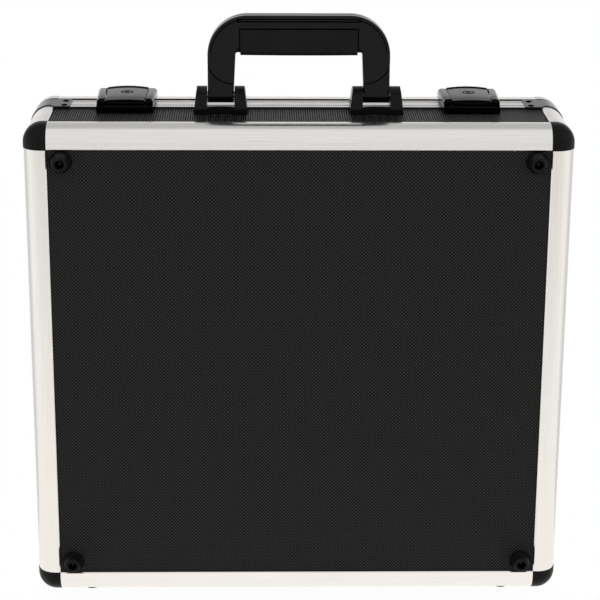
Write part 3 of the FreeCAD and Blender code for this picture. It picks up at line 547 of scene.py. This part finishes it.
def egg_height(low, high):
    """Egg-crate peaks on a solid base."""
    wave = high.y - low.y - EGG_BASE
    mid = (low + high) / 2

    def height(x, z):
        u = math.cos(2 * math.pi * (x - mid.x) / EGG_PITCH)
        w = math.cos(2 * math.pi * (z - mid.z) / EGG_PITCH)
        return EGG_BASE + wave * (0.5 + 0.25 * (u + w)) ** EGG_SHARPNESS

    return height


def loop_points(low, high, inset, radius):
    """Rounded rectangle in x and z, with the same number of points for any inset."""
    centres = (
        (high.x - inset - radius, high.z - inset - radius, 0.0),
        (low.x + inset + radius, high.z - inset - radius, 90.0),
        (low.x + inset + radius, low.z + inset + radius, 180.0),
        (high.x - inset - radius, low.z + inset + radius, 270.0),
    )
    points = []
    for cx, cz, start in centres:
        for i in range(CORNER_STEPS + 1):
            angle = math.radians(start + 90.0 * i / CORNER_STEPS)
            points.append((cx + radius * math.cos(angle), cz + radius * math.sin(angle)))
    return points


def lining_section(low, high):
    """Closed outline of the lining as inset and y, with its two rim edges rolled over."""
    rim = high.y - LINING_ROLL
    section = [(0.0, low.y), (0.0, rim)]
    for inset, start, first in ((LINING_ROLL, 180.0, 1), (LINING_T - LINING_ROLL, 90.0, 0)):
        for i in range(first, ROLL_STEPS + 1):
            angle = math.radians(start - 90.0 * i / ROLL_STEPS)
            section.append((inset + LINING_ROLL * math.cos(angle), rim + LINING_ROLL * math.sin(angle)))
    section.append((LINING_T, low.y))
    return section


def lining(name, low, high, body):
    """One foam strip round the walls."""
    section = lining_section(low, high)
    points = []
    for inset, y in section:
        share = inset / LINING_T
        radius = LINING_OUTER_R + (LINING_INNER_R - LINING_OUTER_R) * share
        points += [(x, y, z) for x, z in loop_points(low, high, inset, radius)]
    around = len(points) // len(section)
    faces = []
    for row in range(len(section)):
        here = row * around
        there = (row + 1) % len(section) * around
        for i in range(around):
            n = (i + 1) % around
            faces.append((here + i, here + n, there + n, there + i))
    return foam_piece(name, points, faces, body)


def foam():
    low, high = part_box("foam_floor")
    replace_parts(pad("floor_pad", low, high, 1, floor_height(low, high), "base"), "foam_floor")
    low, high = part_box("foam_walls")
    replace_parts(lining("wall_lining", low, high, "base"), "foam_walls")
    low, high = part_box("lid_foam")
    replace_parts(pad("egg_crate_pad", low, high, -1, egg_height(low, high), "lid"), "lid_foam")


# Stage, light and camera


def seen_rays(tree):
    """1 for camera, glossy and transmission rays, so that metal shows the white surroundings too."""
    path = tree.nodes.new("ShaderNodeLightPath").outputs
    total = path["Is Camera Ray"]
    for name in ("Is Glossy Ray", "Is Transmission Ray"):
        total = calculate(tree, "MAXIMUM", total, path[name])
    return total


def show(tree, plain, seen, output):
    """Plain shader for the light on the object, the other one for what the camera and reflections see."""
    mix = tree.nodes.new("ShaderNodeMixShader")
    tree.links.new(seen_rays(tree), mix.inputs[0])
    tree.links.new(plain.outputs[0], mix.inputs[1])
    tree.links.new(seen.outputs[0], mix.inputs[2])
    tree.links.new(mix.outputs[0], tree.nodes[output].inputs["Surface"])


def floor_material():
    """White with a faint contact shade; in reflections warmer, and dimmer far in front."""
    material = bpy.data.materials.new("pale_floor")
    material.use_nodes = True
    tree = material.node_tree
    bsdf = tree.nodes["Principled BSDF"]
    bsdf.inputs["Base Color"].default_value = (0.85, 0.85, 0.85, 1.0)
    bsdf.inputs["Roughness"].default_value = 0.9
    shade = tree.nodes.new("ShaderNodeAmbientOcclusion")
    shade.inputs["Distance"].default_value = CONTACT_REACH
    near = ramp(tree, shade.outputs["AO"], source=(0.0, 0.9), target=(CONTACT_SHADE, 1.0))
    place = axes(tree, tree.nodes.new("ShaderNodeTexCoord").outputs["Object"])
    far = ramp(tree, place["Y"], source=FLOOR_FADE, target=(FLOOR_FAR, 1.0))
    glossy = tree.nodes.new("ShaderNodeLightPath").outputs["Is Glossy Ray"]
    warm = tree.nodes.new("ShaderNodeMixRGB")
    warm.inputs["Color1"].default_value = WHITE
    warm.inputs["Color2"].default_value = FLOOR_WARM
    tree.links.new(glossy, warm.inputs["Fac"])
    glow = tree.nodes.new("ShaderNodeEmission")
    tree.links.new(warm.outputs["Color"], glow.inputs["Color"])
    tree.links.new(between(tree, glossy, near, far), glow.inputs["Strength"])
    show(tree, bsdf, glow, "Material Output")
    return material


def floor():
    mesh = bpy.data.meshes.new("floor")
    r = FLOOR_REACH
    corners = [(-r, -r, 0), (r, -r, 0), (r, FLOOR_BACK, 0), (-r, FLOOR_BACK, 0)]
    mesh.from_pydata(corners, [], [(0, 1, 2, 3)])
    mesh.materials.append(floor_material())
    plane = bpy.data.objects.new("floor", mesh)
    bpy.context.scene.collection.objects.link(plane)


def reflected_level(tree):
    """Strength of the surroundings in reflections, by direction: x across, y to the rear, z up."""
    way = axes(tree, tree.nodes.new("ShaderNodeTexCoord").outputs["Generated"])
    aside = calculate(tree, "ABSOLUTE", way["X"])
    turned = ramp(tree, aside, source=(0.4, 0.7), target=(0.0, 1.0))
    rearward = ramp(tree, way["Y"], source=(0.0, 0.5), target=(0.0, 1.0))
    oblique = calculate(tree, "MULTIPLY", turned, rearward)
    above = ramp(tree, way["Z"], source=(0.08, 0.45), target=(1.0, ABOVE_LEVEL))
    dimmed = ramp(tree, oblique, source=(0.0, 1.0), target=(1.0, OBLIQUE_LEVEL))
    behind = calculate(tree, "MULTIPLY", above, dimmed)
    in_front = ramp(tree, aside, source=(0.5, 0.95), target=(FRONT_LEVEL, 1.0))
    is_behind = ramp(tree, way["Y"], source=(0.0, 0.14), target=(0.0, 1.0))
    return between(tree, is_behind, in_front, behind)


def world():
    """White to the camera; in reflections dimmer above, to the front and obliquely behind."""
    made = bpy.data.worlds.new("studio")
    made.use_nodes = True
    tree = made.node_tree
    fill = tree.nodes["Background"]
    fill.inputs["Color"].default_value = WHITE
    fill.inputs["Strength"].default_value = FILL_LEVEL
    white = tree.nodes.new("ShaderNodeBackground")
    white.inputs["Color"].default_value = WHITE
    camera_ray = tree.nodes.new("ShaderNodeLightPath").outputs["Is Camera Ray"]
    level = between(tree, camera_ray, reflected_level(tree), 1.0)
    tree.links.new(level, white.inputs["Strength"])
    show(tree, fill, white, "World Output")
    bpy.context.scene.world = made


def softbox(name, at, aim, width, height, watts):
    data = bpy.data.lights.new(name, "AREA")
    data.shape = "RECTANGLE"
    data.size = width
    data.size_y = height
    data.energy = watts
    lamp = bpy.data.objects.new(name, data)
    lamp.location = at
    lamp.visible_glossy = False
    lamp.rotation_euler = (Vector(aim) - Vector(at)).to_track_quat("-Z", "Y").to_euler()
    bpy.context.scene.collection.objects.link(lamp)


def lights():
    middle = (0, 0, 0.25)
    softbox("key", at=(-0.9, -1.6, 1.9), aim=middle, width=1.2, height=1.2, watts=3.6)
    softbox("fill", at=(1.4, -1.2, 1.0), aim=middle, width=1.0, height=1.4, watts=2.6)
    softbox("overhead", at=(0, -0.75, 1.9), aim=(0, -0.2, 0.3), width=2.4, height=1.2, watts=6.8)


def camera():
    pitch = CAMERA_PITCH
    yaw = CAMERA_YAW
    ahead = Vector((math.sin(yaw) * math.cos(pitch), math.cos(yaw) * math.cos(pitch), -math.sin(pitch)))
    level = Vector((math.cos(yaw), -math.sin(yaw), 0.0))
    upward = level.cross(ahead)
    right = level * math.cos(CAMERA_ROLL) + upward * math.sin(CAMERA_ROLL)
    upward = right.cross(ahead)
    data = bpy.data.cameras.new("camera")
    data.sensor_width = SENSOR_MM
    data.lens = FOCAL_PIXELS / FRAME_PIXELS * SENSOR_MM
    made = bpy.data.objects.new("camera", data)
    turn = Matrix((right, upward, -ahead)).transposed().to_4x4()
    made.matrix_world = Matrix.Translation(CAMERA_AT) @ turn
    bpy.context.scene.collection.objects.link(made)
    bpy.context.scene.camera = made


dress_all()
foam()
floor()
world()
lights()
camera()
bpy.context.scene.view_settings.view_transform = "Standard"
